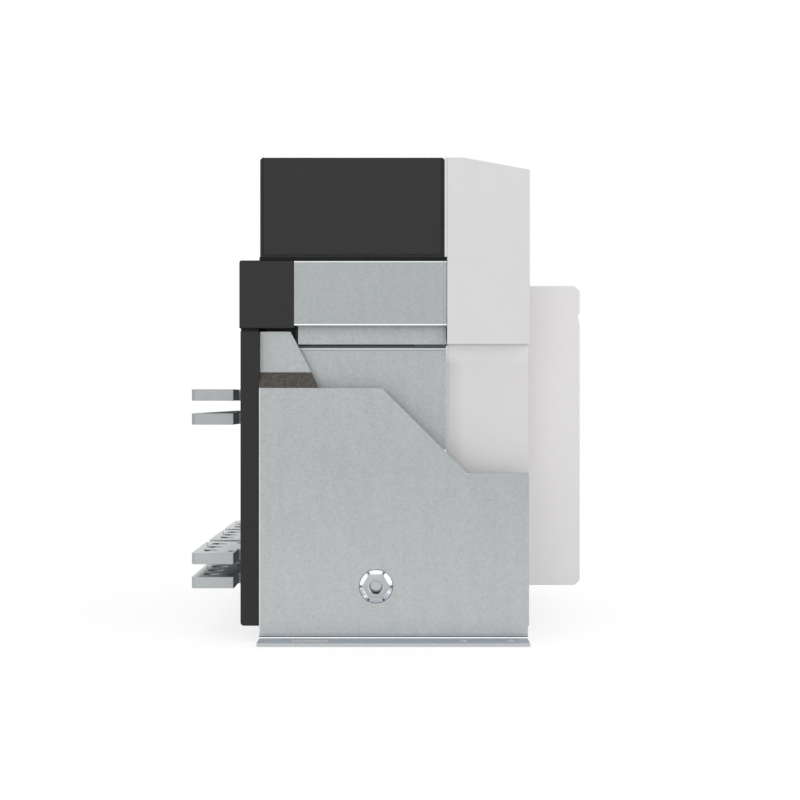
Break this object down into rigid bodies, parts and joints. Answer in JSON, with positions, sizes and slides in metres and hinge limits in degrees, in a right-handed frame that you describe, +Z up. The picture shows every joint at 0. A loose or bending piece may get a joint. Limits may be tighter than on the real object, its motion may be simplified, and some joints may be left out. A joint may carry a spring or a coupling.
{
  "type": "draw-out air circuit breaker",
  "caption": "Draw-out low-voltage air circuit breaker in its galvanised cradle, with paired rear busbar terminals, arc chutes on top and a front operator panel.",
  "frame": {"origin": "under the middle of the object: centre of the overall width and depth, at the underside of the floor flanges", "axes": "+Z up; -Y out of the operator panel, so the busbar terminals are at +Y; +X to the right of a person facing the panel; the picture looks along +X at the -X side"},
  "size_m": [0.435, 0.3434, 0.4159],
  "materials": {
    "galvanised_sheet": "hot-dip galvanised, fine spangle",
    "zinc_steel": "turned or pressed steel, zinc plated",
    "spring_steel": "oiled spring wire",
    "brown_laminate": "mottled phenolic laminate",
    "black_moulding": "black thermoset moulding, fine texture",
    "tinned_copper": "tin or silver plated copper bar",
    "silvered_copper": "copper with silvered contact faces",
    "copper_braid": "laminated flexible copper",
    "bronze": "machined bronze",
    "white_insulation": "moulded insulation",
    "light_grey_plastic": "light-grey moulded cover, satin",
    "dark_grey_plastic": "dark-grey moulding",
    "clear_plastic": "clear moulded flap",
    "green_plastic": "green push button",
    "red_plastic": "red push button",
    "yellow_plastic": "yellow plastic or paint",
    "green_flag": "printed flag"
  },
  "bodies": {
    "cradle": {"cradle_side_right": "galvanised_sheet", "cradle_side_left": "galvanised_sheet", "laminate_strips": "brown_laminate", "side_bushes": "zinc_steel", "wall_angles": "galvanised_sheet", "cradle_floor": "galvanised_sheet", "cradle_screws": "zinc_steel", "rear_wall": "black_moulding", "upper_terminals": "tinned_copper", "lower_terminals": "tinned_copper", "fixed_runners": "galvanised_sheet"},
    "carriage": {"slide_rails": "zinc_steel", "crossbar": "galvanised_sheet", "racking_nut": "bronze"},
    "breaker": {"breaker_floor": "galvanised_sheet", "pole_housing": "black_moulding", "upper_conductors": "silvered_copper", "lower_conductors": "silvered_copper", "current_sensors": "black_moulding", "finger_clusters_upper": "silvered_copper", "finger_clusters_lower": "silvered_copper", "finger_cages": "zinc_steel", "lower_side_sheets": "galvanised_sheet", "upper_side_sheets": "galvanised_sheet", "roller_axles": "zinc_steel", "rear_hood": "black_moulding", "arc_chute_cover": "black_moulding", "arc_chutes": "black_moulding", "splitter_plates": "zinc_steel", "arm_pins": "zinc_steel", "flex_braids": "copper_braid", "mechanism_frame": "zinc_steel", "closing_springs": "spring_steel", "charging_motor": "black_moulding", "release_coils": "black_moulding", "front_cover": "light_grey_plastic", "secondary_terminals": "black_moulding", "operator_panel": "light_grey_plastic", "trip_unit": "black_moulding", "setting_dials": "white_insulation", "panel_guides": "dark_grey_plastic"},
    "screw": {"racking_screw": "zinc_steel"},
    "front_wheels": {"front_rollers": "zinc_steel"},
    "rear_wheels": {"rear_rollers": "zinc_steel"},
    "main_shaft": {"pole_shaft": "zinc_steel"},
    "moving_contacts": {"contact_carriers": "black_moulding", "contact_fingers": "silvered_copper"},
    "links": {"drive_links": "white_insulation"},
    "cam": {"cam_shaft": "zinc_steel"},
    "clear_flap": {"trip_cover": "clear_plastic"},
    "handle": {"charging_handle": "dark_grey_plastic"},
    "off_push": {"off_button": "red_plastic"},
    "on_push": {"on_button": "green_plastic"},
    "reset_push": {"reset_button": "red_plastic"},
    "open_closed_flag": {"contact_flag": "green_flag"},
    "charged_flag": {"spring_flag": "yellow_plastic"},
    "shutter": {"racking_shutter": "dark_grey_plastic"},
    "pointer": {"position_pointer": "yellow_plastic"},
    "lock_tongue": {"lock_slide": "yellow_plastic"}
  },
  "joints": [
    {"name": "rail_pull", "type": "slide", "parent": "cradle", "child": "carriage", "axis": [0, -1, 0], "range_m": [0, 0.15]},
    {"name": "rack_out", "type": "slide", "parent": "carriage", "child": "breaker", "axis": [0, -1, 0], "range_m": [0, 0.06]},
    {"name": "screw_turn", "type": "hinge", "parent": "breaker", "child": "screw", "pos_m": [0, -0.1, 0.064], "axis": [0, -1, 0], "range_deg": [0, 3600]},
    {"name": "front_roller_turn", "type": "hinge", "parent": "breaker", "child": "front_wheels", "pos_m": [0, -0.0498, 0.115], "axis": [1, 0, 0], "range_deg": [0, 436]},
    {"name": "rear_roller_turn", "type": "hinge", "parent": "breaker", "child": "rear_wheels", "pos_m": [0, 0.07, 0.115], "axis": [1, 0, 0], "range_deg": [0, 436]},
    {"name": "shaft_turn", "type": "hinge", "parent": "breaker", "child": "main_shaft", "pos_m": [0, -0.05, 0.12], "axis": [-1, 0, 0], "range_deg": [0, 40]},
    {"name": "arm_swing", "type": "hinge", "parent": "breaker", "child": "moving_contacts", "pos_m": [0, 0.018, 0.085], "axis": [-1, 0, 0], "range_deg": [0, 16], "deforming": ["flex_braids"]},
    {"name": "link_turn", "type": "hinge", "parent": "main_shaft", "child": "links", "pos_m": [0, -0.05855, 0.14349], "axis": [-1, 0, 0], "range_deg": [-40, 0]},
    {"name": "cam_turn", "type": "hinge", "parent": "breaker", "child": "cam", "pos_m": [0, -0.084, 0.205], "axis": [1, 0, 0], "continuous": true},
    {"name": "flap_open", "type": "hinge", "parent": "breaker", "child": "clear_flap", "pos_m": [-0.1366, -0.1701, 0.186], "axis": [0, 0, -1], "range_deg": [0, 110]},
    {"name": "handle_pull", "type": "hinge", "parent": "breaker", "child": "handle", "pos_m": [0.0979, -0.1597, 0.122], "axis": [1, 0, 0], "range_deg": [0, 80], "stiffness_Nm_per_rad": 0.6},
    {"name": "off_press", "type": "slide", "parent": "breaker", "child": "off_push", "axis": [0, 1, 0], "range_m": [0, 0.005], "stiffness_N_per_m": 400},
    {"name": "on_press", "type": "slide", "parent": "breaker", "child": "on_push", "axis": [0, 1, 0], "range_m": [0, 0.005], "stiffness_N_per_m": 400},
    {"name": "reset_press", "type": "slide", "parent": "breaker", "child": "reset_push", "axis": [0, 1, 0], "range_m": [0, 0.004], "stiffness_N_per_m": 300},
    {"name": "contact_flag_lift", "type": "slide", "parent": "breaker", "child": "open_closed_flag", "axis": [0, 0, 1], "range_m": [0, 0.014]},
    {"name": "spring_flag_lift", "type": "slide", "parent": "breaker", "child": "charged_flag", "axis": [0, 0, 1], "range_m": [0, 0.014]},
    {"name": "shutter_lift", "type": "slide", "parent": "breaker", "child": "shutter", "axis": [0, 0, 1], "range_m": [0, 0.026]},
    {"name": "pointer_shift", "type": "slide", "parent": "breaker", "child": "pointer", "axis": [1, 0, 0], "range_m": [0, 0.024]},
    {"name": "lock_pull", "type": "slide", "parent": "breaker", "child": "lock_tongue", "axis": [0, -1, 0], "range_m": [0, 0.018]}
  ],
  "couplings": [
    {"joint": "screw_turn", "follows": "rack_out", "rad_per_m": 1047.2},
    {"joint": "front_roller_turn", "follows": "rack_out", "rad_per_m": 126.58},
    {"joint": "rear_roller_turn", "follows": "rack_out", "rad_per_m": 126.58},
    {"joint": "pointer_shift", "follows": "rack_out", "ratio": 0.4},
    {"joint": "arm_swing", "follows": "shaft_turn", "ratio": 0.4},
    {"joint": "link_turn", "follows": "shaft_turn", "ratio": -1},
    {"joint": "contact_flag_lift", "follows": "shaft_turn", "m_per_rad": 0.02005}
  ]
}
